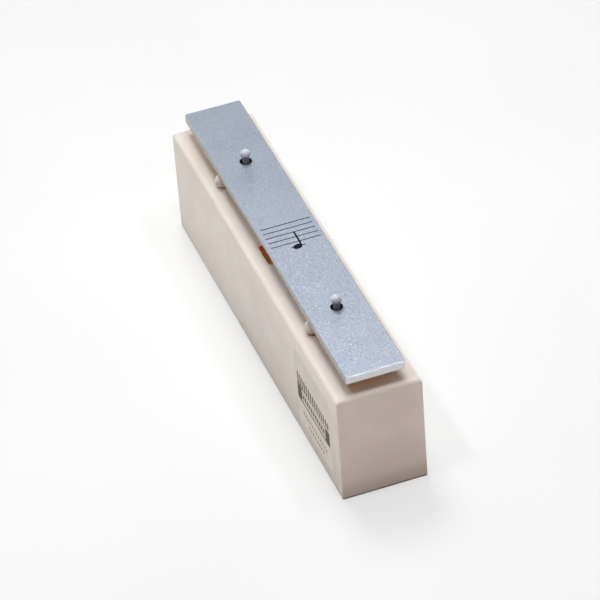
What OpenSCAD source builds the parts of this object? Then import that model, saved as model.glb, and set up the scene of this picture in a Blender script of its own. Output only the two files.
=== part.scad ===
// Chime bar: one tuned metal sound bar over its own hollow resonator box.
// X runs across the bar, Y along it (the near end, where the player sits, is -Y), Z is up.
// The origin is on the table, under the centre of the box. All sizes are in millimetres.

/* [Resonator box] */
// Width of the box, across the bar
box_w = 58; // [52:0.5:80]
// Length of the box, along the bar
box_l = 316; // [312:1:400]
// Height of the box, without its feet
box_h = 78.2; // [60:0.2:110]
// Thickness of the side and end walls
wall = 2.5; // [2:0.1:3]
// Thickness of the top wall, which carries the bar
top_wall = 3; // [2.5:0.1:4]
// Radius of the rounded top edges
edge_r = 3; // [1:0.25:4]
// Radius of the upright corners
corner_r = 1; // [1:0.25:3]

/* [Sound hole] */
// Width of the hole in the top wall, across the bar
hole_w = 37; // [20:1:42]
// Length of the hole, along the bar
hole_l = 21.5; // [10:0.5:40]
// Corner radius of the hole
hole_r = 2; // [1:0.5:4]
// Distance of the hole's middle from the box's middle, toward the far end
hole_shift = 2.75; // [-20:0.25:20]

/* [Sound bar] */
// Width of the bar
bar_w = 40; // [30:0.5:44]
// Length of the bar, which with its thickness and arch sets the pitch
bar_l = 308; // [280:1:310]
// Thickness of the bar at its ends
bar_t = 6; // [5:0.1:8]
// Length of the arch that is milled under the middle to tune the bar
arch_l = 124; // [60:1:140]
// Depth of that arch
arch_d = 2.2; // [1:0.1:3]
// Distance between the two holes, which lie at the bar's still points
pin_pitch = 171; // [160:1:176]
// Diameter of those holes
bar_hole_d = 8; // [7.5:0.1:9]
// Free height between the box and the bar
bar_gap = 9.2; // [7:0.1:12]

/* [Pins and cushions] */
// Diameter of the ball that keeps the bar on its pin
ball_d = 6.8; // [6:0.1:7.2]
// Diameter of the soft sleeve under the ball
sleeve_d = 4.6; // [4:0.1:5]
// Height of the ball's centre over the bar's top face
ball_rise = 6; // [4:0.5:8]
// Length of the soft cushion that the bar rests on
cushion_l = 45; // [42:0.5:50]
// Radius of the cushion's rounded ends, at most half the cushion's thickness
cushion_end_r = 4.4; // [0.5:0.1:4.4]

/* [Base] */
// Thickness of the base plate
base_t = 4; // [3.5:0.1:6]
// Diameter of a foot
foot_d = 12; // [8:1:14]
// How far a foot stands below the box
foot_drop = 1; // [0.5:0.1:2]

/* [Label] */
// Length of the side label, along the box
label_l = 62; // [30:1:90]
// Height of the side label
label_h = 58; // [20:1:60]
// Distance from the near end of the box to the label
label_inset = 16; // [12:1:40]

/* [Hidden] */
$fn = 64;
fit = 0.02;                // radial clearance of parts that touch but don't overlap
slip = 0.25;               // clearance round the base plate
box_z = foot_drop;         // underside of the box
box_top = box_z + box_h;
bar_z = box_top + bar_gap; // underside of the bar at its ends
bar_top = bar_z + bar_t;
inner_w = box_w - 2 * wall;
inner_l = box_l - 2 * wall;
inner_top = box_top - top_wall;
plate_top = box_z + base_t;

collar_t = 2;              // moulded rim under the sound hole
collar_h = 4;
pin_boss_d = 10;           // moulded boss that grips a pin core
pin_boss_h = 12;
rib_t = 2;                 // stiffening rib through each pin boss
rib_h = 8;

core_d = 2.5;              // steel core of a pin
core_head_d = 6;
core_head_h = 1.2;
ball_z = bar_top + ball_rise;
core_top = ball_z + 1;

screw_d = 3;               // self-tapping screws that hold the base plate
screw_l = 14;
screw_head_d = 5.8;
screw_head_h = 2;
screw_boss_d = 10;
screw_boss_h = 20;
counterbore_d = 6.6;
counterbore_h = 2.4;

foot_h = 2.5;
foot_seat_h = foot_h - foot_drop;
label_t = 0.3;             // film label, flush in a shallow moulded panel
label_seat = 0.35;
label_gap = 0.15;          // clearance round the film
label_r = 3;
label_z = box_z + 8;
bar_corner_r = 2;
end_chamfer = 0.7;         // on the bar's two end edges
side_chamfer = 0.4;        // on its long edges

ENDS = ["near", "far"];
SIDES = ["left", "right"];
SCREW_COUNT = 6;

// Y of a pin, and X and Y of a foot and of a screw.
function pin_y(e) = (e == 0 ? -1 : 1) * pin_pitch / 2;
function foot_x(s) = (s == 0 ? -1 : 1) * (inner_w / 2 - 8.5);
function foot_y(e) = (e == 0 ? -1 : 1) * (inner_l / 2 - 20);
function screw_x(i) = (i % 2 == 0 ? -1 : 1) * (inner_w / 2 - screw_boss_d / 2 + 0.5);
function screw_y(i) = (floor(i / 2) - 1) * (inner_l / 2 - screw_boss_d / 2 + 0.5);

// A rectangle centred on the origin, with round corners.
module round_rect(w, l, r) {
    square([w - 2 * r, l], center = true);
    square([w, l - 2 * r], center = true);
    for (x = [-1, 1]) for (y = [-1, 1])
        translate([x * (w / 2 - r), y * (l / 2 - r)]) circle(r);
}

// An upright rectangle w wide and h high on the X axis, with its two top corners round.
module arch_rect(w, h, r) {
    translate([-w / 2, 0]) square([w, h - r]);
    translate([-w / 2 + r, 0]) square([w - 2 * r, h]);
    for (x = [-1, 1]) translate([x * (w / 2 - r), h - r]) circle(r);
}

// A rectangle w wide and h high, centred, with its corners cut off at c.
module cut_rect(w, h, c) {
    polygon([
        [-w / 2 + c, -h / 2], [w / 2 - c, -h / 2], [w / 2, -h / 2 + c], [w / 2, h / 2 - c],
        [w / 2 - c, h / 2], [-w / 2 + c, h / 2], [-w / 2, h / 2 - c], [-w / 2, -h / 2 + c]
    ]);
}

// Solid block with the outside shape of the box.
module box_block() {
    intersection() {
        translate([0, 0, box_z]) linear_extrude(box_h) round_rect(box_w, box_l, corner_r);
        translate([0, box_l / 2 + 1, box_z]) rotate([90, 0, 0])
            linear_extrude(box_l + 2) arch_rect(box_w, box_h, edge_r);
        translate([-box_w / 2 - 1, 0, box_z]) rotate([90, 0, 90])
            linear_extrude(box_w + 2) arch_rect(box_l, box_h, edge_r);
    }
}

// Moulded shell, open at the bottom, with the sound hole, pin bosses and screw bosses.
module resonator_box() {
    color("antiquewhite") difference() {
        union() {
            difference() {
                box_block();
                translate([0, 0, box_z - 1]) linear_extrude(inner_top - box_z + 1)
                    round_rect(inner_w, inner_l, 1);
            }
            translate([0, hole_shift, inner_top - collar_h]) linear_extrude(collar_h + 0.5)
                round_rect(hole_w + 2 * collar_t, hole_l + 2 * collar_t, hole_r + collar_t);
            for (e = [0, 1]) translate([0, pin_y(e), 0]) {
                translate([0, 0, inner_top - pin_boss_h])
                    cylinder(d = pin_boss_d, h = pin_boss_h + 0.5);
                translate([-inner_w / 2 - 0.5, -rib_t / 2, inner_top - rib_h])
                    cube([inner_w + 1, rib_t, rib_h + 0.5]);
            }
            for (i = [0:SCREW_COUNT - 1]) translate([screw_x(i), screw_y(i), plate_top])
                cylinder(d = screw_boss_d, h = screw_boss_h);
        }
        translate([0, hole_shift, inner_top - collar_h - 1]) linear_extrude(top_wall + collar_h + 2)
            round_rect(hole_w, hole_l, hole_r);
        for (e = [0, 1]) translate([0, pin_y(e), inner_top - pin_boss_h - 1])
            cylinder(d = core_d + 2 * fit, h = pin_boss_h + top_wall + 2);
        for (i = [0:SCREW_COUNT - 1]) translate([screw_x(i), screw_y(i), plate_top - 1])
            cylinder(d = screw_d + 2 * fit, h = screw_l);
        side_panel(label_seat, label_seat + 1, 0);
    }
}

// Block with the label's outline on the left side: its inner face lies depth inside the wall's
// face, it is t thick, and it is gap smaller than the panel all round.
module side_panel(depth, t, gap) {
    translate([-box_w / 2 + depth, -box_l / 2 + label_inset + label_l / 2, label_z + label_h / 2])
        rotate([90, 0, -90]) linear_extrude(t)
            round_rect(label_l - 2 * gap, label_h - 2 * gap, label_r - gap);
}

// Film label, stuck in the panel.
module side_label() {
    color("linen") side_panel(label_seat - fit, label_t, label_gap);
}

// Plate that closes the box, with seats for its screws and feet.
module base_plate() {
    color("gainsboro") difference() {
        translate([0, 0, box_z]) linear_extrude(base_t)
            round_rect(inner_w - 2 * slip, inner_l - 2 * slip, 1);
        for (i = [0:SCREW_COUNT - 1]) translate([screw_x(i), screw_y(i), box_z]) {
            translate([0, 0, -1]) cylinder(d = counterbore_d, h = counterbore_h + 1);
            translate([0, 0, -1]) cylinder(d = screw_d + 0.4, h = base_t + 2);
        }
        for (e = [0, 1]) for (s = [0, 1]) translate([foot_x(s), foot_y(e), box_z - 1])
            cylinder(d = foot_d + 0.3, h = foot_seat_h + 1);
    }
}

// Tuned bar: chamfered edges, two pin holes, and the arch milled under its middle.
module sound_bar() {
    arch_r = (pow(arch_l / 2, 2) + pow(arch_d, 2)) / (2 * arch_d);
    color("lightsteelblue") translate([0, 0, bar_z + bar_t / 2]) difference() {
        intersection() {
            translate([0, 0, -bar_t]) linear_extrude(2 * bar_t)
                round_rect(bar_w, bar_l, bar_corner_r);
            rotate([90, 0, 0]) linear_extrude(bar_l + 2, center = true)
                cut_rect(bar_w, bar_t, side_chamfer);
            rotate([90, 0, 90]) linear_extrude(bar_w + 2, center = true)
                cut_rect(bar_l, bar_t, end_chamfer);
        }
        for (e = [0, 1]) translate([0, pin_y(e), -bar_t]) cylinder(d = bar_hole_d, h = 2 * bar_t);
        translate([0, 0, -bar_t / 2 + arch_d - arch_r]) rotate([0, 90, 0])
            cylinder(r = arch_r, h = bar_w + 2, center = true, $fn = 720);
    }
}

// Steel pin, pushed up through the top wall's boss from inside the box.
module pin_core(e) {
    color("silver") translate([0, pin_y(e), 0]) {
        foot = inner_top - pin_boss_h;
        translate([0, 0, foot - core_head_h]) cylinder(d = core_head_d, h = core_head_h);
        translate([0, 0, foot - core_head_h]) cylinder(d = core_d, h = core_top - foot + core_head_h);
    }
}

// Soft sleeve with a ball head, pushed down over the steel pin.
module pin_cap(e) {
    color("whitesmoke") translate([0, pin_y(e), 0]) difference() {
        union() {
            translate([0, 0, ball_z]) sphere(d = ball_d);
            translate([0, 0, box_top]) cylinder(d = sleeve_d, h = ball_z - box_top);
        }
        translate([0, 0, box_top - 1]) cylinder(d = core_d + 2 * fit, h = core_top - box_top + 1.1);
    }
}

// Soft round cushion across the box, with rounded ends, that carries the bar at a still point.
module cushion(e) {
    r = bar_gap / 2 - fit;
    end_r = min(cushion_end_r, r - 0.15);
    color("white") translate([0, pin_y(e), box_top + bar_gap / 2]) difference() {
        rotate([0, 90, 0]) rotate_extrude() intersection() {
            round_rect(2 * r, cushion_l, end_r);
            translate([0, -cushion_l]) square([r + 1, 2 * cushion_l]);
        }
        cylinder(d = sleeve_d + 2 * fit, h = bar_gap + 2, center = true);
    }
}

// Rubber foot, half sunk in the base plate.
module foot(e, s) {
    bevel = 0.6;
    color("dimgray") translate([foot_x(s), foot_y(e), 0]) rotate_extrude()
        polygon([
            [0, 0], [foot_d / 2 - bevel, 0], [foot_d / 2, bevel], [foot_d / 2, foot_h], [0, foot_h]
        ]);
}

// Pan-head self-tapping screw with a cross recess, head down.
module base_screw(i) {
    head_z = box_z + counterbore_h - screw_head_h;
    color("lightgray") translate([screw_x(i), screw_y(i), head_z]) difference() {
        union() {
            cylinder(d = screw_head_d, h = screw_head_h);
            cylinder(d = screw_d, h = screw_head_h + screw_l - 2);
            translate([0, 0, screw_head_h + screw_l - 2]) cylinder(d1 = screw_d, d2 = 1, h = 1.4);
        }
        for (a = [0, 90]) rotate([0, 0, a])
            translate([-1.7, -0.45, -1]) cube([3.4, 0.9, 2]);
    }
}

resonator_box();
base_plate();
sound_bar();
side_label();
for (e = [0, 1]) {
    pin_core(e);
    pin_cap(e);
    cushion(e);
    for (s = [0, 1])
        foot(e, s);
}
for (i = [0:SCREW_COUNT - 1])
    base_screw(i);
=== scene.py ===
"""Looks of a one-note chime bar: a silver sound bar on two soft cushions over a cream resonator box."""

import math

import bmesh
import bpy
from mathutils import Matrix, Vector


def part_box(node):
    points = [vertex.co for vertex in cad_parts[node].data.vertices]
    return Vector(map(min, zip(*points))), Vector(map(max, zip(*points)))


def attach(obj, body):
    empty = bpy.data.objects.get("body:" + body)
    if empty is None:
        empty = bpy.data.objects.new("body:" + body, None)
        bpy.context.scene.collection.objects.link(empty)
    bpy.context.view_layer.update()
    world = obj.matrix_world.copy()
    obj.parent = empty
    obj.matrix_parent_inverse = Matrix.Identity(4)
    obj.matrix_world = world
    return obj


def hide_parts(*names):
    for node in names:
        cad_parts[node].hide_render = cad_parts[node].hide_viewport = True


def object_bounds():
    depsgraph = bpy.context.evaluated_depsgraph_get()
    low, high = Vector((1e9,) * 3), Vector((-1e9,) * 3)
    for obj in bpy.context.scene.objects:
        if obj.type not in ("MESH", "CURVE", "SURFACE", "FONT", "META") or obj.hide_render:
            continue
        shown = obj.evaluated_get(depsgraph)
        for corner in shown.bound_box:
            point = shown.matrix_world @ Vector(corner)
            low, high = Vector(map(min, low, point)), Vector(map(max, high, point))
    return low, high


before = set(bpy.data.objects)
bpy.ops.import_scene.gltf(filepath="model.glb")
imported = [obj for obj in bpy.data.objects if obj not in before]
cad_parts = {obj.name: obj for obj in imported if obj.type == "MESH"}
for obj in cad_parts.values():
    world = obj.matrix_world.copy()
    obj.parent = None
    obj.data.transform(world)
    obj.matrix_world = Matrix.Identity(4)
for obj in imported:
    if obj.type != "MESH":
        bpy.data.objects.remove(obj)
cad_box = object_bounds()

MM = 0.001
ROOT, BAR = "resonator", "bar"

# ---------------------------------------------------------------- sizes, in metres
BOX_LOW, BOX_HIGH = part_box("resonator_box")
BAR_LOW, BAR_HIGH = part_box("sound_bar")
PLATE_LOW, PLATE_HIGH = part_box("base_plate")
LABEL_LOW, LABEL_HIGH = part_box("side_label")
CAP_LOW, CAP_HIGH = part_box("near_pin_cap")
CORE_LOW, CORE_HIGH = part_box("near_pin_core")
SCREWS = [f"base_screw_{i}" for i in range(1, 7)]
FEET = [f"{end}_{side}_foot" for end in ("near", "far") for side in ("left", "right")]

WALL = 2.5 * MM            # box: wall, top wall and the radii of its edges
TOP_WALL = 3 * MM
EDGE_R = 3 * MM
CORNER_R = 1 * MM
TOP_CORNER_R = 0.8 * MM    # corner of the flat top face, inside the rounded edges
CEILING = BOX_HIGH.z - TOP_WALL

HOLE = (18.5 * MM, 10.75 * MM, 2 * MM)    # sound hole: half width, half length, corner radius
HOLE_Y = 2.75 * MM                        # its middle, a little toward the far end
HOLE_RIM_R = 0.6 * MM
COLLAR = (20.5 * MM, 12.75 * MM, 4 * MM)  # outside of the moulded rim under it
COLLAR_LOW = CEILING - 4 * MM

PIN_BOSS_R, PIN_BOSS_H = 5 * MM, 12 * MM
RIB_T, RIB_H = 2 * MM, 8 * MM
SCREW_BOSS_R, SCREW_BOSS_H = 5 * MM, 20 * MM
CORE_R, SLEEVE_R, BALL_R = 1.25 * MM, 2.3 * MM, 3.4 * MM
CUSHION_END_R = 4.4 * MM
SCREW_R = 1.5 * MM
FIT = 0.02 * MM            # clearance round pins and screws

BAR_CORNER_R = 2 * MM
END_CHAMFER = 0.7 * MM
SIDE_CHAMFER = 0.4 * MM
ARCH_L, ARCH_D = 124 * MM, 2.2 * MM
BAR_HOLE_R = 4 * MM
LABEL_R = 3 * MM
PRINT_T = 0.02 * MM        # thickness of a layer of ink
INK_GAP = 0.002 * MM       # from a surface to the ink on it


def middle(node):
    """Centre of a CAD node's box."""
    low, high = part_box(node)
    return (low + high) / 2


PIN_YS = [middle(f"{end}_pin_cap").y for end in ("near", "far")]


# ---------------------------------------------------------------- mesh helpers
def arc(x, y, r, start, end, steps):
    """Points of an arc round (x, y), from start to end in degrees, both ends included."""
    angles = [math.radians(start + (end - start) * i / steps) for i in range(steps + 1)]
    return [(x + r * math.cos(a), y + r * math.sin(a)) for a in angles]


def round_rect(half_w, half_l, r, steps=8):
    """Outline of a rectangle with round corners, centred on the origin, counter-clockwise."""
    corners = [(half_w, half_l, 0), (-half_w, half_l, 90), (-half_w, -half_l, 180), (half_w, -half_l, 270)]
    points = []
    for x, y, start in corners:
        points += arc(x - math.copysign(r, x), y - math.copysign(r, y), r, start, start + 90, steps)
    return points


def add_object(name, mesh_data, materials, smooth=True):
    """New object with that mesh, its materials and smooth shading."""
    mesh = bpy.data.meshes.new(name)
    if isinstance(mesh_data, bmesh.types.BMesh):
        bmesh.ops.recalc_face_normals(mesh_data, faces=mesh_data.faces)
        mesh_data.to_mesh(mesh)
        mesh_data.free()
    obj = bpy.data.objects.new(name, mesh)
    bpy.context.scene.collection.objects.link(obj)
    for material in materials:
        mesh.materials.append(material)
    mesh.shade_smooth() if smooth else mesh.shade_flat()
    return obj


def bridge(bm, rings, closed=False, material=lambda k: 0):
    """Skins a list of equal rings of 3-D points. closed joins the last ring to the first."""
    loops = [[bm.verts.new(p) for p in ring] for ring in rings]
    count = len(loops)
    for k in range(count if closed else count - 1):
        low, high = loops[k], loops[(k + 1) % count]
        for i in range(len(low)):
            j = (i + 1) % len(low)
            face = bm.faces.new((low[i], low[j], high[j], high[i]))
            face.material_index = material(k)
    return loops


def lathe(bm, profile, steps=64, axis="Z", centre=(0, 0, 0)):
    """Turns a closed profile of (radius, height) points round an axis through centre."""
    turn = Matrix.Rotation(math.radians(90), 4, "Y") if axis == "X" else Matrix.Identity(4)
    place = Matrix.Translation(centre) @ turn
    on_axis = [abs(r) < 1e-9 for r, _ in profile]
    loops = []
    for (r, h), single in zip(profile, on_axis):
        if single:
            loops.append([bm.verts.new(place @ Vector((0, 0, h)))])
            continue
        angles = [2 * math.pi * i / steps for i in range(steps)]
        loops.append([bm.verts.new(place @ Vector((r * math.cos(a), r * math.sin(a), h))) for a in angles])
    for k, low in enumerate(loops):
        high = loops[(k + 1) % len(loops)]
        if len(low) == 1 and len(high) == 1:
            continue
        for i in range(steps):
            j = (i + 1) % steps
            corners = [low[i % len(low)], low[j % len(low)], high[j % len(high)], high[i % len(high)]]
            bm.faces.new(list(dict.fromkeys(corners)))


def prism(outline, low, high):
    """Temporary upright prism on a 2-D outline, for a boolean."""
    bm = bmesh.new()
    loops = bridge(bm, [[(x, y, z) for x, y in outline] for z in (low, high)])
    bm.faces.new(loops[0][::-1])
    bm.faces.new(loops[1])
    return add_object("cutter", bm, [])


def spool(r, low, high, x, y, rim=0.0):
    """Temporary upright round cutter from low to high, with its two ends flared by rim at 45 degrees."""
    reach = 1 * MM
    if rim:
        wide = r + rim + reach
        side = [(wide, low - reach), (r, low + rim), (r, high - rim), (wide, high + reach)]
    else:
        side = [(r, low - reach), (r, high + reach)]
    bm = bmesh.new()
    lathe(bm, [(0, low - reach)] + side + [(0, high + reach)], steps=72, centre=(x, y, 0))
    return add_object("cutter", bm, [])


def carve(obj, cutters, operation="DIFFERENCE"):
    """Applies a boolean with each cutter and removes the cutters."""
    for cutter in cutters:
        modifier = obj.modifiers.new("carve", "BOOLEAN")
        modifier.object, modifier.operation, modifier.solver = cutter, operation, "EXACT"
        bake_modifiers(obj)
        bpy.data.objects.remove(cutter)


def bake_modifiers(obj):
    """Replaces the object's mesh with what its modifiers make of it."""
    graph = bpy.context.evaluated_depsgraph_get()
    graph.update()
    mesh = bpy.data.meshes.new_from_object(obj.evaluated_get(graph))
    obj.modifiers.clear()
    old, obj.data = obj.data, mesh
    bpy.data.meshes.remove(old)


def even_shading(obj, sharp=35):
    """Smooth shading that keeps flat faces flat and edges over sharp degrees crisp."""
    obj.data.shade_smooth()
    obj.data.set_sharp_from_angle(angle=math.radians(sharp))
    modifier = obj.modifiers.new("even", "WEIGHTED_NORMAL")
    modifier.keep_sharp = True


def finish_piece(obj, body, slot, *replaced):
    """The piece rides on a body, takes a slot argument that is not used, and stands for CAD nodes."""
    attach(obj, body)
    if replaced:
        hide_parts(*replaced)
    return obj


# ---------------------------------------------------------------- material helpers
def srgb(r, g, b):
    """Linear colour of 8-bit screen values."""
    def linear(v):
        v /= 255
        return v / 12.92 if v <= 0.04045 else ((v + 0.055) / 1.055) ** 2.4
    return (linear(r), linear(g), linear(b), 1)


class Surface:
    """A material's nodes. Lengths given to noise and cells are in millimetres."""

    def __init__(self, name, **values):
        self.material = bpy.data.materials.new(name)
        self.material.use_nodes = True
        self.tree = self.material.node_tree
        self.bsdf = self.tree.nodes["Principled BSDF"]
        self.set(**values)
        coordinates = self.tree.nodes.new("ShaderNodeTexCoord")
        self.place = coordinates.outputs["Object"]
        self.height = None

    def set(self, **values):
        """Sets or links the shader's inputs; base_color stands for Base Color."""
        for key, value in values.items():
            self.put(self.bsdf.inputs[key.replace("_", " ").title().replace("Ior", "IOR")], value)

    def put(self, socket, value):
        if isinstance(value, bpy.types.NodeSocket):
            self.tree.links.new(value, socket)
        else:
            socket.default_value = value

    def math(self, operation, a, b=0.0, c=0.0):
        node = self.tree.nodes.new("ShaderNodeMath")
        node.operation = operation
        for socket, value in zip(node.inputs, (a, b, c)):
            self.put(socket, value)
        return node.outputs[0]

    def noise(self, size, detail=3.0, stretch=(1, 1, 1), roughness=0.5):
        """Soft noise from 0 to 1 with features of that size."""
        mapping = self.tree.nodes.new("ShaderNodeMapping")
        mapping.inputs["Scale"].default_value = [1 / (size * MM * s) for s in stretch]
        self.put(mapping.inputs["Vector"], self.place)
        node = self.tree.nodes.new("ShaderNodeTexNoise")
        node.inputs["Scale"].default_value = 1
        node.inputs["Detail"].default_value = detail
        node.inputs["Roughness"].default_value = roughness
        self.put(node.inputs["Vector"], mapping.outputs[0])
        return node.outputs["Fac"]

    def cells(self, size):
        """Small cells of that size, each with its own random colour."""
        node = self.tree.nodes.new("ShaderNodeTexVoronoi")
        node.inputs["Scale"].default_value = 1 / (size * MM)
        self.put(node.inputs["Vector"], self.place)
        return node.outputs["Color"]

    def ramp(self, value, low, high, start=0.0, end=1.0):
        """Maps value from low..high to start..end, held at both ends."""
        node = self.tree.nodes.new("ShaderNodeMapRange")
        node.interpolation_type = "SMOOTHSTEP"
        for socket, v in zip(node.inputs, (value, low, high, start, end)):
            self.put(socket, v)
        return node.outputs[0]

    def blend(self, share, a, b, mode="MIX"):
        """Colour a turning into b."""
        node = self.tree.nodes.new("ShaderNodeMix")
        node.data_type, node.blend_type = "RGBA", mode
        for socket, value in ((node.inputs[0], share), (node.inputs[6], a), (node.inputs[7], b)):
            self.put(socket, value)
        return node.outputs[2]

    def axis(self, name):
        """One coordinate of the surface point, in metres."""
        node = self.tree.nodes.new("ShaderNodeSeparateXYZ")
        self.put(node.inputs[0], self.place)
        return node.outputs[name]

    def edges(self, radius):
        """1 along convex and concave edges, within about radius mm, and 0 on flat faces."""
        bevel = self.tree.nodes.new("ShaderNodeBevel")
        bevel.samples = 4
        bevel.inputs["Radius"].default_value = radius * MM
        geometry = self.tree.nodes.new("ShaderNodeNewGeometry")
        dot = self.tree.nodes.new("ShaderNodeVectorMath")
        dot.operation = "DOT_PRODUCT"
        self.put(dot.inputs[0], bevel.outputs[0])
        self.put(dot.inputs[1], geometry.outputs["Normal"])
        return self.ramp(dot.outputs["Value"], 0.995, 0.9)

    def bump(self, height, depth, strength=1.0):
        """Adds relief, depth mm deep, on top of what is there."""
        node = self.tree.nodes.new("ShaderNodeBump")
        node.inputs["Strength"].default_value = strength
        node.inputs["Distance"].default_value = depth * MM
        self.put(node.inputs["Height"], height)
        if self.height is not None:
            self.put(node.inputs["Normal"], self.height)
        self.height = node.outputs[0]
        self.put(self.bsdf.inputs["Normal"], self.height)


# ---------------------------------------------------------------- materials
GLOW = (1.0, 0.32, 0.06, 1)      # daylight after it has passed through the cream walls


def moulded_plastic(name, colour, shade, roughness=0.42, soft=0.0, painted_shade=0.0, glow=0.0, glow_from=None):
    """Satin moulded plastic: faint flow clouds, fine grain and rubbed edges.

    Painted shade darkens the walls toward their foot and, a little, the sides of the near half below the
    top, as strongly as the argument after soft says.
    glow is the warm light that seeps through the walls, everywhere or only above the height glow_from.
    """
    s = Surface(name)
    cloud = s.noise(34, 2)
    streak = s.noise(7, 3, stretch=(1, 6, 1))
    tint = s.blend(s.ramp(cloud, 0.35, 0.65), colour, shade)
    tint = s.blend(s.math("MULTIPLY", s.ramp(streak, 0.45, 0.7), 0.25), tint, shade)
    speck = s.ramp(s.noise(0.9, 2), 0.66, 0.74, 0.0, 0.22)
    tint = s.blend(speck, tint, srgb(176, 160, 142))
    rub = s.math("MULTIPLY", s.edges(1.2), s.ramp(s.noise(3, 4), 0.35, 0.65))
    tint = s.blend(s.math("MULTIPLY", rub, 0.2), tint, srgb(250, 246, 240))
    height, along = s.axis("Z"), s.axis("Y")
    side = s.ramp(along, BOX_LOW.y, BOX_LOW.y + 1 * MM)
    # Painted shade: the walls darken toward their foot, more toward the near end.
    low = s.ramp(height, 50 * MM, 6 * MM, 0.0, 0.22)
    low = s.math("MULTIPLY", low, s.ramp(along, 110 * MM, -30 * MM, 0.5, 1.0))
    foot = s.ramp(height, 16 * MM, 1 * MM, 0.0, 0.32)
    foot = s.math("MULTIPLY", foot, s.ramp(side, 0.0, 1.0, 1.0, 0.35))
    # Painted shade too: a faint band below the top on the sides of the near half.
    held = s.ramp(height, 74 * MM, 54 * MM, 0.0, 0.085)
    held = s.math("MULTIPLY", held, s.ramp(along, 90 * MM, -30 * MM))
    shade_mask = s.math("ADD", s.math("ADD", low, foot), s.math("MULTIPLY", held, side))
    s.set(base_color=s.blend(s.math("MULTIPLY", shade_mask, painted_shade), tint, srgb(112, 100, 92)))
    s.set(roughness=s.ramp(s.noise(5, 4), 0.3, 0.7, roughness - 0.05, roughness + 0.09))
    s.set(subsurface_weight=soft, subsurface_scale=2 * MM, subsurface_radius=(1.0, 0.55, 0.3))
    step = s.ramp(s.axis("Z"), glow_from - 0.2 * MM, glow_from, 0.0, glow) if glow_from else glow
    s.set(emission_color=GLOW, emission_strength=step)
    s.bump(s.noise(30, 1), 0.12, 0.5)
    s.bump(s.noise(0.5, 2), 0.012, 0.6)
    return s.material


def bounce_lit_inside(name):
    """Unpolished inside of the box: a warm orange-brown that is painted light, for daylight bounced round
    inside the cream walls, with a coarse swirl and a very weak glow.
    """
    s = Surface(name)
    swirl = s.noise(9, 5, stretch=(1, 3, 1))
    tint = s.blend(s.ramp(swirl, 0.3, 0.7), srgb(182, 104, 44), srgb(134, 70, 27))
    s.set(base_color=tint, roughness=s.ramp(swirl, 0.3, 0.7, 0.55, 0.75))
    s.set(emission_color=GLOW, emission_strength=s.ramp(swirl, 0.3, 0.7, 0.13, 0.08))
    s.bump(s.noise(1.2, 3), 0.03, 0.6)
    return s.material


def sparkle_metal(name):
    """Silver finish on the bar: fine bright and dark flecks in a satin coat, with faint clouds."""
    s = Surface(name, metallic=0.72)
    fine = s.tree.nodes.new("ShaderNodeSeparateColor")
    s.put(fine.inputs[0], s.cells(0.6))
    coarse = s.tree.nodes.new("ShaderNodeSeparateColor")
    s.put(coarse.inputs[0], s.cells(1.1))
    # The flecks thin out toward the far end.
    worn = s.ramp(s.axis("Y"), -60 * MM, 60 * MM, 1.0, 0.55)
    patch = s.math("MULTIPLY", s.ramp(s.noise(16, 3), 0.35, 0.65, 0.65, 1.0), worn)
    base = s.blend(s.ramp(s.noise(28, 2), 0.3, 0.7), srgb(160, 169, 186), srgb(165, 174, 190))
    bright = s.math("MULTIPLY", s.ramp(fine.outputs[0], 0.72, 1.0), patch)
    dark = s.math("MULTIPLY", s.ramp(coarse.outputs[1], 0.70, 1.0), patch)
    tint = s.blend(s.math("MULTIPLY", bright, 0.55), base, srgb(228, 234, 242))
    tint = s.blend(s.math("MULTIPLY", dark, 0.38), tint, srgb(116, 126, 144))
    s.set(base_color=tint)
    s.set(roughness=s.ramp(fine.outputs[2], 0.0, 1.0, 0.36, 0.52))
    s.bump(fine.outputs[1], 0.012, 0.6)
    s.bump(s.noise(0.35, 2), 0.006, 0.5)
    return s.material


def milled_metal(name, colour, along=(1, 14, 1), contrast=26, depth=0.01, metallic=0.9, roughness=0.24):
    """Bare milled metal: fine cutter lines that run where along is large."""
    s = Surface(name, metallic=metallic)
    lines = s.noise(0.35, 3, stretch=along)
    cloud = s.noise(8, 2)
    tint = s.blend(s.ramp(lines, 0.3, 0.7), srgb(*colour), srgb(*(v - contrast for v in colour)))
    s.set(base_color=s.blend(s.ramp(cloud, 0.3, 0.7, 0.0, 0.3), tint, srgb(*(0.9 * v for v in colour))))
    s.set(roughness=s.ramp(lines, 0.3, 0.7, roughness, roughness + 0.12))
    s.bump(lines, depth, 0.5)
    return s.material


def soft_rubber(name, colour, shade, roughness=0.5, soft=0.3, dusty=0.3, rubbed=None):
    """Silicone or rubber: slightly translucent, with a fine matt skin and a film of dust.

    rubbed is a pair of heights: below them the rubber turns dark grey-blue, a painted shade under the ball
    head.
    """
    s = Surface(name)
    cloud = s.noise(4, 3)
    tint = s.blend(s.ramp(cloud, 0.35, 0.65), colour, shade)
    dust = s.math("MULTIPLY", s.ramp(s.noise(0.5, 3), 0.5, 0.7), dusty)
    tint = s.blend(dust, tint, srgb(188, 182, 174))
    if rubbed:
        # Painted shade: the neck and the lower ball darken, for the shade under the ball head.
        tint = s.blend(s.ramp(s.axis("Z"), rubbed[1], rubbed[0], 0.0, 0.94), tint, srgb(122, 133, 146))
    s.set(base_color=tint)
    s.set(roughness=s.ramp(s.noise(1.2, 3), 0.3, 0.7, roughness - 0.08, roughness + 0.1))
    s.set(subsurface_weight=soft, subsurface_scale=1.5 * MM, subsurface_radius=(1.0, 0.9, 0.8))
    s.bump(s.noise(0.25, 2), 0.01, 0.5)
    return s.material


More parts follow.
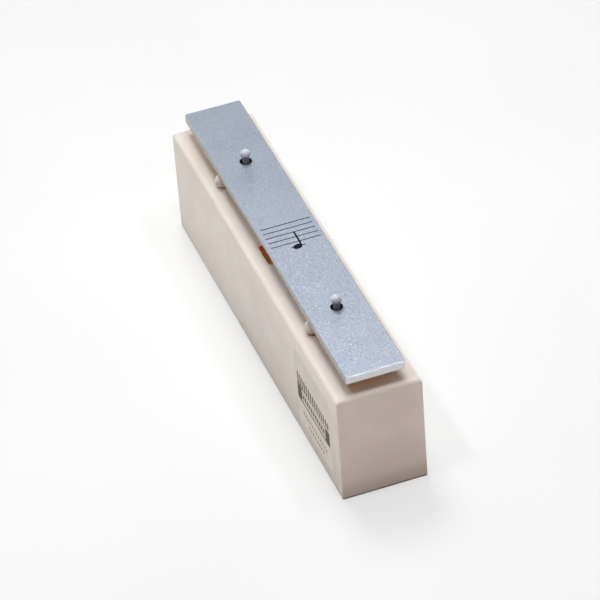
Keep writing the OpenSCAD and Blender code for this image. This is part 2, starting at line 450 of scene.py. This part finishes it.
def zinc_steel(name):
    """Zinc-plated steel: bright, cloudy, with fine drawing lines."""
    s = Surface(name, metallic=1.0)
    cloud = s.noise(1.6, 4)
    s.set(base_color=s.blend(s.ramp(cloud, 0.3, 0.7), srgb(206, 208, 212), srgb(160, 164, 172)))
    s.set(roughness=s.ramp(s.noise(0.5, 3), 0.3, 0.7, 0.22, 0.42))
    s.bump(s.noise(0.2, 2, stretch=(1, 1, 8)), 0.006, 0.5)
    return s.material


def label_film(name):
    """Matt film, a touch greyer than the box, with a faint emboss and rubbed rim."""
    s = Surface(name)
    cloud = s.noise(12, 3)
    tint = s.blend(s.ramp(cloud, 0.3, 0.7), srgb(220, 213, 206), srgb(213, 206, 199))
    rub = s.math("MULTIPLY", s.edges(0.8), 0.4)
    s.set(base_color=s.blend(rub, tint, srgb(182, 172, 160)))
    s.set(roughness=s.ramp(s.noise(2, 3), 0.3, 0.7, 0.42, 0.56))
    s.bump(s.noise(0.3, 2), 0.008, 0.6)
    return s.material


def ink(name, colour, faded, wear=0.35):
    """Screen-printed ink with thin, worn patches."""
    s = Surface(name)
    worn = s.math("MULTIPLY", s.ramp(s.noise(0.8, 4), 0.45, 0.7), wear)
    s.set(base_color=s.blend(worn, colour, faded))
    s.set(roughness=s.ramp(s.noise(1.5, 3), 0.3, 0.7, 0.6, 0.75), specular_ior_level=0.08)
    s.bump(s.noise(0.2, 2), 0.004, 0.5)
    return s.material


def studio_floor(name):
    """Plain white studio floor with the faintest mottling, lit from below except under the box."""
    s = Surface(name)
    s.set(base_color=s.blend(s.ramp(s.noise(240, 2), 0.3, 0.7), (0.52, 0.52, 0.52, 1), (0.5, 0.5, 0.5, 1)))
    s.set(roughness=0.75, specular_ior_level=0.2)
    covered = [s.ramp(s.math("ABSOLUTE", s.axis(axis)), half + 0.2 * MM, half - 0.6 * MM)
               for axis, half in (("X", BOX_HIGH.x), ("Y", BOX_HIGH.y))]
    glow = s.ramp(s.math("MULTIPLY", *covered), 0.0, 1.0, 0.445, 0.0)
    s.set(emission_color=(0.97, 0.99, 1, 1), emission_strength=glow)
    return s.material


# The box plastic takes the painted shade at full strength.
CREAM = moulded_plastic("cream_plastic", srgb(228, 223, 218), srgb(222, 216, 210), soft=0.12, painted_shade=1,
                        glow=0.015)
INSIDE = bounce_lit_inside("box_inside")
PLATE = moulded_plastic("plate_plastic", srgb(218, 207, 194), srgb(208, 196, 182), roughness=0.55,
                        glow=0.08, glow_from=PLATE_HIGH.z)
SPARKLE = sparkle_metal("bar_sparkle")
END_FACE = milled_metal("bar_end_face", (213, 215, 218), along=(10, 10, 1), contrast=10, depth=0.003)
# Painted highlight: the end chamfers are near white, so they show as a bright line of light.
HIGHLIGHT_EDGE = milled_metal("bar_highlight_edge", (246, 250, 255), along=(10, 10, 1), contrast=6, depth=0.001,
                           metallic=0.5, roughness=0.13)
SIDE = milled_metal("bar_side", (168, 170, 170), along=(1, 14, 1), contrast=14)
# Painted shade: the walls of the pin holes are dark, for the shade inside the holes.
SHADED_HOLE_WALL = milled_metal("bar_shaded_hole_wall", (84, 88, 96), along=(6, 6, 1), contrast=16)
ARCH = milled_metal("bar_milled_arch", (196, 197, 200), along=(20, 1, 1))
# Painted light: the golden tint stands for warm light bounced between bar and box, and warms the shade on
# the box top under the bar's ends.
UNDERSIDE = milled_metal("bar_underside", (206, 166, 98), along=(1, 14, 1))
# Pin caps, with painted shade below the middle of the ball.
CAP = soft_rubber("pin_rubber", srgb(210, 217, 231), srgb(197, 204, 218), roughness=0.26, soft=0.05,
                  dusty=0.1, rubbed=(CAP_HIGH.z - 5.2 * MM, CAP_HIGH.z - 1.4 * MM))
CUSHION = soft_rubber("cushion_rubber", srgb(216, 208, 206), srgb(202, 194, 193), roughness=0.42, soft=0.3)
FOOT = soft_rubber("foot_rubber", srgb(58, 57, 56), srgb(44, 43, 43), roughness=0.65, soft=0.0, dusty=0.2)
STEEL = zinc_steel("zinc_steel")
FILM = label_film("label_film")
STAFF_INK = ink("staff_ink", srgb(14, 17, 30), srgb(50, 55, 74), wear=0.15)
LABEL_INK = ink("label_ink", srgb(102, 97, 82), srgb(164, 157, 142), wear=0.6)
PALE_INK = ink("label_pale_ink", srgb(152, 145, 132), srgb(192, 186, 174), wear=0.7)


# ---------------------------------------------------------------- resonator box
def shell_rings():
    """Rings round the shell, from its foot up the outside, over the top, down the hole, and down inside."""
    half_w, half_l = BOX_HIGH.x, BOX_HIGH.y
    in_w, in_l = half_w - WALL, half_l - WALL
    foot, top = BOX_LOW.z, BOX_HIGH.z
    rim = 0.3 * MM
    rings = []
    for inset, z in arc(0, 0, rim, 270, 360, 3):
        rings.append((half_w - rim + inset, half_l - rim + inset, CORNER_R - rim + inset, foot + rim + z))
    for x, z in arc(0, 0, EDGE_R, 0, 90, 10):
        inset = EDGE_R - x
        r = CORNER_R + (TOP_CORNER_R - CORNER_R) * inset / EDGE_R
        rings.append((half_w - inset, half_l - inset, r, top - EDGE_R + z))
    hw, hl, hr = HOLE
    for x, z in arc(0, 0, HOLE_RIM_R, 90, 180, 4):
        out = HOLE_RIM_R + x
        rings.append((hw + out, hl + out, hr + out, top - HOLE_RIM_R + z, HOLE_Y))
    for x, z in arc(0, 0, rim, 180, 270, 3):
        out = rim + x
        rings.append((hw + out, hl + out, hr + out, COLLAR_LOW + rim + z, HOLE_Y))
    cw, cl, cr = COLLAR
    for x, z in arc(0, 0, rim, 270, 360, 3):
        rings.append((cw - rim + x, cl - rim + x, cr - rim + x, COLLAR_LOW + rim + z, HOLE_Y))
    fillet = 0.8 * MM
    for x, z in arc(0, 0, fillet, 180, 90, 4):
        out = fillet + x
        rings.append((cw + out, cl + out, cr + out, CEILING - fillet + z, HOLE_Y))
    for x, z in arc(0, 0, fillet, 90, 0, 4):
        inset = fillet - x
        rings.append((in_w - inset, in_l - inset, 1.2 * MM, CEILING - fillet + z))
    for x, z in arc(0, 0, rim, 180, 270, 3):
        out = rim + x
        rings.append((in_w + out, in_l + out, 1 * MM + out, foot + rim + z))
    return [[(x, y + sum(shift), z) for x, y in round_rect(w, l, r)] for w, l, r, z, *shift in rings]


def build_box():
    """Moulded shell with its sound hole, collar, pin bosses, ribs, screw bosses and label panel."""
    first_inside_strip, last_inside_strip = 18, 35    # strips of the shell from inside the hole's rim to the ceiling's edge
    bm = bmesh.new()
    bridge(bm, shell_rings(), closed=True, material=lambda k: 1 if first_inside_strip <= k <= last_inside_strip else 0)
    box = add_object("resonator_shell", bm, [CREAM, INSIDE])
    in_w = BOX_HIGH.x - WALL
    overlap = 0.5 * MM
    added = []
    for y in PIN_YS:
        bm = bmesh.new()
        low, high, r = CEILING - PIN_BOSS_H, CEILING + overlap, PIN_BOSS_R
        foot = arc(r - overlap, low + overlap, overlap, 270, 360, 4)
        lathe(bm, [(0, low)] + foot + [(r, high), (0, high)], centre=(0, y, 0))
        added.append(add_object("boss", bm, []))
        rib = [(in_w + overlap, y + RIB_T / 2), (-in_w - overlap, y + RIB_T / 2),
               (-in_w - overlap, y - RIB_T / 2), (in_w + overlap, y - RIB_T / 2)]
        added.append(prism(rib, CEILING - RIB_H, CEILING + overlap * 0.8))
    for name in SCREWS:
        at = middle(name)
        added.append(prism([(at.x + x, at.y + y) for x, y in arc(0, 0, SCREW_BOSS_R, 0, 352.5, 47)],
                           PLATE_HIGH.z, PLATE_HIGH.z + SCREW_BOSS_H))
    for piece in added:
        piece.data.materials.append(CREAM)
        piece.data.materials.append(INSIDE)
        piece.data.polygons.foreach_set("material_index", [1] * len(piece.data.polygons))
    carve(box, added, "UNION")
    cutters = [spool(CORE_R + FIT, CEILING - PIN_BOSS_H, BOX_HIGH.z, 0, y) for y in PIN_YS]
    for name in SCREWS:
        low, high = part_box(name)
        cutters.append(spool(SCREW_R + FIT, PLATE_HIGH.z, high.z, *middle(name).xy))
    carve(box, cutters)
    carve(box, [label_block(0.15 * MM, LABEL_HIGH.x + FIT, BOX_LOW.x - MM)])
    even_shading(box)
    return finish_piece(box, ROOT, "box_plastic", "resonator_box")


def label_block(gap, inner, outer):
    """Block with the label's outline, gap larger all round, from inner to outer along X."""
    centre = (LABEL_LOW + LABEL_HIGH) / 2
    half_l = (LABEL_HIGH.y - LABEL_LOW.y) / 2 + gap
    half_h = (LABEL_HIGH.z - LABEL_LOW.z) / 2 + gap
    outline = round_rect(half_l, half_h, LABEL_R)
    bm = bmesh.new()
    loops = bridge(bm, [[(x, centre.y + y, centre.z + z) for y, z in outline] for x in (outer, inner)])
    bm.faces.new(loops[0][::-1])
    bm.faces.new(loops[1])
    return add_object("label_block", bm, [])


# ---------------------------------------------------------------- sound bar
def bar_section(y):
    """Half width, top and bottom of the bar at y, with its round corners, end chamfers and arch."""
    from_end = BAR_HIGH.y - abs(y)
    half_w = BAR_HIGH.x
    if from_end < BAR_CORNER_R:
        half_w -= BAR_CORNER_R - math.sqrt(max(0, BAR_CORNER_R ** 2 - (BAR_CORNER_R - from_end) ** 2))
    cut = max(0, END_CHAMFER - from_end)
    bottom, top = BAR_LOW.z + cut, BAR_HIGH.z - cut
    if abs(y) < ARCH_L / 2:
        radius = ((ARCH_L / 2) ** 2 + ARCH_D ** 2) / (2 * ARCH_D)
        bottom += math.sqrt(radius ** 2 - y ** 2) - (radius - ARCH_D)
    return half_w, bottom, top


def bar_ring(y):
    """Closed outline of the bar's section at y, as 3-D points: a rectangle with four softened chamfers."""
    half_w, bottom, top = bar_section(y)
    c = SIDE_CHAMFER
    soft = 0.12 * MM       # rounding at each end of a chamfer
    points = []
    for sx, sz in ((1, 1), (-1, 1), (-1, -1), (1, -1)):
        x, z = sx * half_w, (top if sz > 0 else bottom)
        side = [(x, z - sz * (c + soft)), (x - sx * soft * 0.3, z - sz * (c - soft * 0.3)),
                (x - sx * (c - soft * 0.3), z - sz * soft * 0.3), (x - sx * (c + soft), z)]
        points += side if sx * sz > 0 else side[::-1]
    return [(x, y, z) for x, z in points]


BAR_MATERIALS = [SPARKLE, SIDE, END_FACE, HIGHLIGHT_EDGE, SHADED_HOLE_WALL, ARCH, UNDERSIDE]


def bar_material(at, normal):
    """Place in BAR_MATERIALS of a face of the bar, by where it is and which way it points."""
    pin = Vector((0, min(PIN_YS, key=lambda y: abs(y - at.y))))
    if (at.xy - pin).length < 1.1 * BAR_HOLE_R and abs(normal.z) < 0.99:
        return BAR_MATERIALS.index(SHADED_HOLE_WALL)
    if abs(normal.y) > 0.3 and abs(at.y) > BAR_HIGH.y - 2 * END_CHAMFER:
        return BAR_MATERIALS.index(HIGHLIGHT_EDGE if normal.z > 0.3 else END_FACE)
    if normal.z < -0.9:
        return BAR_MATERIALS.index(ARCH if abs(at.y) < ARCH_L / 2 else UNDERSIDE)
    return BAR_MATERIALS.index(SIDE if abs(normal.x) > 0.3 else SPARKLE)


def build_bar():
    """Sound bar: lofted along its length, then drilled with two softly countersunk holes."""
    half = BAR_HIGH.y
    ends = [0, 0.08, 0.16, 0.28, 0.42, 0.56, 0.64, 0.7, 0.78, 0.95, 1.2, 1.6, 2.0, 3.0]
    ys = [half - d * MM for d in ends]
    steps = 32
    ys += [ARCH_L / 2 * (1 - i / steps) for i in range(steps)]
    ys = ys + [0] + [-y for y in reversed(ys)]
    bm = bmesh.new()
    loops = bridge(bm, [bar_ring(y) for y in ys])
    bm.faces.new(loops[0][::-1])
    bm.faces.new(loops[-1])
    bar = add_object("sound_bar_metal", bm, BAR_MATERIALS)
    carve(bar, [spool(BAR_HOLE_R, BAR_LOW.z, BAR_HIGH.z, 0, y, rim=0.25 * MM) for y in PIN_YS])
    for face in bar.data.polygons:
        face.material_index = bar_material(face.center, face.normal)
    even_shading(bar, 28)
    return finish_piece(bar, BAR, "bar_metal", "sound_bar")


def slab(bm, outline, z, t=PRINT_T):
    """Adds a thin flat layer on a 2-D outline."""
    loops = bridge(bm, [[(x, y, z + d) for x, y in outline] for d in (0, t)])
    bm.faces.new(loops[0][::-1])
    bm.faces.new(loops[1])


def bar_outline(x0, x1, y, t):
    """Outline of a straight line of ink with round ends, from x0 to x1."""
    return arc(x1, y, t / 2, -90, 90, 6) + arc(x0, y, t / 2, 90, 270, 6)


def build_staff_print():
    """Printed five-line staff with one quarter note on a ledger line below it: middle C."""
    bm = bmesh.new()
    z = BAR_HIGH.z + INK_GAP
    half_w, line_t = 17 * MM, 0.74 * MM
    low_line, gap = -11.3 * MM, 5.25 * MM
    for i in range(5):
        slab(bm, bar_outline(-half_w, half_w, low_line + i * gap, line_t), z)
    head = Vector((-0.7 * MM, -16.4 * MM))
    head_l, head_w = 3.3 * MM, 2.45 * MM
    tilt = Matrix.Rotation(math.radians(18), 2)
    oval = [tilt @ Vector((head_l * math.cos(a), head_w * math.sin(a))) + head
            for a in (math.radians(10 * i) for i in range(36))]
    slab(bm, [tuple(p) for p in oval], z)
    ledger = bar_outline(-5 * MM, 4.5 * MM, -16.1 * MM, 0.75 * MM)
    slab(bm, ledger, z + PRINT_T)
    stem = [(x * MM, y * MM) for x, y in ((1.5, -15.6), (2.7, -15.6), (2.9, -0.4), (1.7, -0.4))]
    slab(bm, stem, z + PRINT_T)
    return finish_piece(add_object("staff_print", bm, [STAFF_INK], smooth=False), BAR, "bar_metal")


# ---------------------------------------------------------------- label
def build_label_film():
    """Film label, flush in its panel, with a fine rim."""
    film = label_block(0, LABEL_HIGH.x, LABEL_LOW.x)
    film.name = "side_label_film"
    film.data.materials.append(FILM)
    bevel = film.modifiers.new("rim", "BEVEL")
    bevel.width, bevel.segments, bevel.limit_method = 0.06 * MM, 2, "ANGLE"
    bake_modifiers(film)
    even_shading(film)
    return finish_piece(film, ROOT, "label_film", "side_label")


def ink_patch(bm, y0, y1, z0, z1, r, ink_index=0):
    """Adds a thin patch of ink with round corners to the label's face."""
    outline = round_rect((y1 - y0) / 2, (z1 - z0) / 2, r, steps=3)
    y_mid, z_mid = (y0 + y1) / 2, (z0 + z1) / 2
    face = LABEL_LOW.x - INK_GAP
    loops = bridge(bm, [[(x, y_mid + y, z_mid + z) for y, z in outline] for x in (face, face - PRINT_T)],
                   material=lambda k: ink_index)
    for cap in (bm.faces.new(loops[0]), bm.faces.new(loops[1][::-1])):
        cap.material_index = ink_index


def print_falling_bars(bm, near, far):
    """Upright bars side by side that get shorter toward the near end."""
    count, middle_z = 15, 45.2 * MM
    tallest, fall = 10.4, 0.32      # height of the far bar and how much each next one loses, in mm
    pitch = (far - near) / count
    half_w = pitch * 0.27
    for i in range(count):
        height = (tallest - fall * i) * MM
        y = far - (i + 0.5) * pitch
        ink_patch(bm, y - half_w, y + half_w, middle_z - height / 2, middle_z + height / 2, 0.5 * MM)


def print_band(bm, near, far):
    """Band under the bars: four lines, two solid ends and a row of spots."""
    for z, t in ((29.4, 1.5), (32.9, 0.6), (36.6, 0.6), (40.3, 0.8)):
        ink_patch(bm, near, far, (z - t / 2) * MM, (z + t / 2) * MM, 0.3 * MM)
    end_l = 7.5 * MM
    for y in (near, far - end_l):
        ink_patch(bm, y, y + end_l, 29.2 * MM, 40.3 * MM, 0.8 * MM)
    spot_half, spot_pitch = 1.1 * MM, 3.6
    for i in range(11):
        y = near + 11 * MM + i * spot_pitch * MM
        ink_patch(bm, y - spot_half, y + spot_half, 33.2 * MM, 36.3 * MM, 0.8 * MM)


def print_dashes(bm):
    """Two rows of short pale dashes below the band."""
    length, half_h, pitch = 2.4 * MM, 1.1, 3.7
    for z, start, count in ((20.5, -133, 12), (14.5, -127, 8)):
        for i in range(count):
            y = (start + pitch * i) * MM
            ink_patch(bm, y, y + length, (z - half_h) * MM, (z + half_h) * MM, 0.6 * MM, ink_index=1)


def build_label_print():
    """Print on the label: a pictogram of falling bars over a plain band, with no lettering."""
    near, far = -139.7 * MM, -82 * MM
    bm = bmesh.new()
    print_falling_bars(bm, near, far)
    print_band(bm, near, far)
    print_dashes(bm)
    label_print = add_object("label_print", bm, [LABEL_INK, PALE_INK], smooth=False)
    return finish_piece(label_print, ROOT, "label_film")


# ---------------------------------------------------------------- pins and cushions
def build_pin_cap(end):
    """Rubber sleeve with a ball head: fillet at the neck, faint mould ring and a small gate mark on top."""
    low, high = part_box(f"{end}_pin_cap")
    ball_z = high.z - BALL_R
    bore, bore_top = CORE_R + FIT, CORE_HIGH.z + 0.1 * MM
    neck_r = 0.9 * MM      # fillet between sleeve and ball
    lift = math.asin((SLEEVE_R + neck_r) / (BALL_R + neck_r))
    fillet_z = ball_z - (BALL_R + neck_r) * math.cos(lift)
    soft = 0.3 * MM
    profile = [(bore, low.z)] + arc(SLEEVE_R - soft, low.z + soft, soft, 270, 360, 4)
    start = 180
    touch = 180 - (90 - math.degrees(lift))
    profile += arc(SLEEVE_R + neck_r, fillet_z, neck_r, start, touch, 8)
    ball = arc(0, ball_z, BALL_R, math.degrees(lift) - 90, 86, 30)
    ring = 0.03 * MM       # height of the parting line round the ball
    profile += [(r + ring * math.exp(-((z - ball_z) / (0.12 * MM)) ** 2), z) for r, z in ball[1:]]
    gate_r = profile[-1][0]
    profile += [(gate_r * 0.8, high.z - 0.08 * MM), (0, high.z - 0.08 * MM)]
    profile += [(0, bore_top), (bore, bore_top)]
    bm = bmesh.new()
    lathe(bm, profile, steps=72, centre=(0, middle(f"{end}_pin_cap").y, 0))
    cap = add_object(f"{end}_pin_cap_rubber", bm, [CAP])
    even_shading(cap, 50)
    return finish_piece(cap, ROOT, "cap_rubber", f"{end}_pin_cap")


def build_cushion(end):
    """Solid silicone cushion across the box, with rounded ends and the cross hole that its pin passes."""
    low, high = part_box(f"{end}_cushion")
    centre = (low + high) / 2
    half, r, end_r = (high.x - low.x) / 2, (high.z - low.z) / 2, CUSHION_END_R
    profile = [(0, half)] + arc(r - end_r, half - end_r, end_r, 90, 0, 14)
    profile += [(x, -h) for x, h in reversed(profile)]
    bm = bmesh.new()
    lathe(bm, profile, steps=80, axis="X", centre=centre)
    cushion = add_object(f"{end}_cushion_silicone", bm, [CUSHION])
    carve(cushion, [spool(SLEEVE_R + FIT, low.z, high.z, 0, centre.y)])
    even_shading(cushion, 50)
    return finish_piece(cushion, ROOT, "cushion_rubber", f"{end}_cushion")


# ---------------------------------------------------------------- CAD nodes that stay
def dress(name, material):
    """Gives a CAD node its material and smooth shading with crisp edges."""
    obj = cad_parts[name]
    obj.data.materials.clear()
    obj.data.materials.append(material)
    obj.data.shade_smooth()
    obj.data.set_sharp_from_angle(angle=math.radians(32))


build_box()
build_bar()
build_staff_print()
build_label_film()
build_label_print()
for end in ("near", "far"):
    build_pin_cap(end)
    build_cushion(end)
    dress(f"{end}_pin_core", STEEL)
dress("base_plate", PLATE)
for name in FEET:
    dress(name, FOOT)
for name in SCREWS:
    dress(name, STEEL)


# ---------------------------------------------------------------- floor, light and camera
def build_floor():
    """Wide plain floor under the feet."""
    bm = bmesh.new()
    bmesh.ops.create_grid(bm, x_segments=1, y_segments=1, size=4)
    floor = add_object("floor", bm, [studio_floor("floor")], smooth=False)


def area_light(name, direction, distance, size, power, colour=(1, 1, 1)):
    """Soft rectangular light that faces the object's middle."""
    centre = (Vector(cad_box[0]) + Vector(cad_box[1])) / 2
    data = bpy.data.lights.new(name, "AREA")
    data.shape, data.size, data.size_y = "RECTANGLE", size[0], size[1]
    data.energy, data.color = power, colour
    light = bpy.data.objects.new(name, data)
    way = Vector(direction).normalized()
    light.location = centre + way * distance
    light.rotation_euler = way.to_track_quat("Z", "Y").to_euler()
    bpy.context.scene.collection.objects.link(light)


def build_world():
    """Surroundings: a pale band low behind the object, a warm band low in front, dark elsewhere."""
    world = bpy.data.worlds.new("studio")
    world.use_nodes = True
    tree = world.node_tree
    place = tree.nodes.new("ShaderNodeTexCoord")
    way = tree.nodes.new("ShaderNodeSeparateXYZ")
    tree.links.new(place.outputs["Generated"], way.inputs[0])

    def toward(axis, start, end):
        node = tree.nodes.new("ShaderNodeMapRange")
        node.interpolation_type = "SMOOTHSTEP"
        tree.links.new(way.outputs[axis], node.inputs["Value"])
        node.inputs["From Min"].default_value, node.inputs["From Max"].default_value = start, end
        return node.outputs[0]

    def turn(share, a, b):
        node = tree.nodes.new("ShaderNodeMix")
        node.data_type = "RGBA"
        for socket, value in ((node.inputs[0], share), (node.inputs[6], a), (node.inputs[7], b)):
            if isinstance(value, bpy.types.NodeSocket):
                tree.links.new(value, socket)
            else:
                socket.default_value = value
        return node.outputs[2]

    dark = (0, 0, 0, 1)
    behind = turn(toward("Z", 0.35, 0.6), (1.6, 1.54, 1.42, 1), dark)
    in_front = turn(toward("Z", 0.3, 0.6), (0.36, 0.1, 0.014, 1), dark)
    colour = turn(toward("Y", 0.0, 0.5), dark, behind)
    colour = turn(toward("Y", -0.1, -0.9), colour, in_front)
    tree.links.new(colour, tree.nodes["Background"].inputs["Color"])
    bpy.context.scene.world = world


def build_camera():
    """Camera from the near left, high up and far off, tilted a little."""
    azimuth, elevation, roll = (math.radians(v) for v in (-17.511, 38.44, -4.598))
    place = (-0.58514, -1.86418, 1.58831)
    back = Vector((math.sin(azimuth) * math.cos(elevation), -math.cos(azimuth) * math.cos(elevation),
                   math.sin(elevation)))
    right = Vector((0, 0, 1)).cross(back).normalized()
    up = back.cross(right)
    turned = right * math.cos(roll) + up * math.sin(roll)
    up = up * math.cos(roll) - right * math.sin(roll)
    data = bpy.data.cameras.new("camera")
    data.sensor_width, data.lens = 36, 226.79      # both in millimetres
    data.clip_start, data.clip_end = 0.1, 20
    camera = bpy.data.objects.new("camera", data)
    turn = Matrix((turned, up, back)).transposed().to_4x4()
    camera.matrix_world = Matrix.Translation(place) @ turn
    bpy.context.scene.collection.objects.link(camera)
    bpy.context.scene.camera = camera


build_floor()
build_world()
area_light("key_strip", (-0.42, -0.16, 1), 1.35, (0.3, 0.06), 3.7)
area_light("overhead_strip", (0, -0.18, 1), 1.3, (0.2, 0.06), 1.6)
area_light("near_strip", (0, -0.35, 1), 1.3, (0.3, 0.06), 1.2)
area_light("right_strip", (0.3, -0.16, 1), 1.35, (0.3, 0.06), 1.3)
area_light("right_fill", (0.35, 0, 1), 1.35, (0.5, 0.12), 1.7)
area_light("far_box", (0, 0.45, 1), 1.35, (0.5, 0.5), 8.1)
area_light("rim_strip", (0.24, -0.62, 0.75), 1.6, (0.35, 0.06), 1.3, colour=(0.82, 0.94, 1))
build_camera()
view = bpy.context.scene.view_settings
view.view_transform, view.look, view.exposure, view.gamma = "Standard", "None", 0, 1
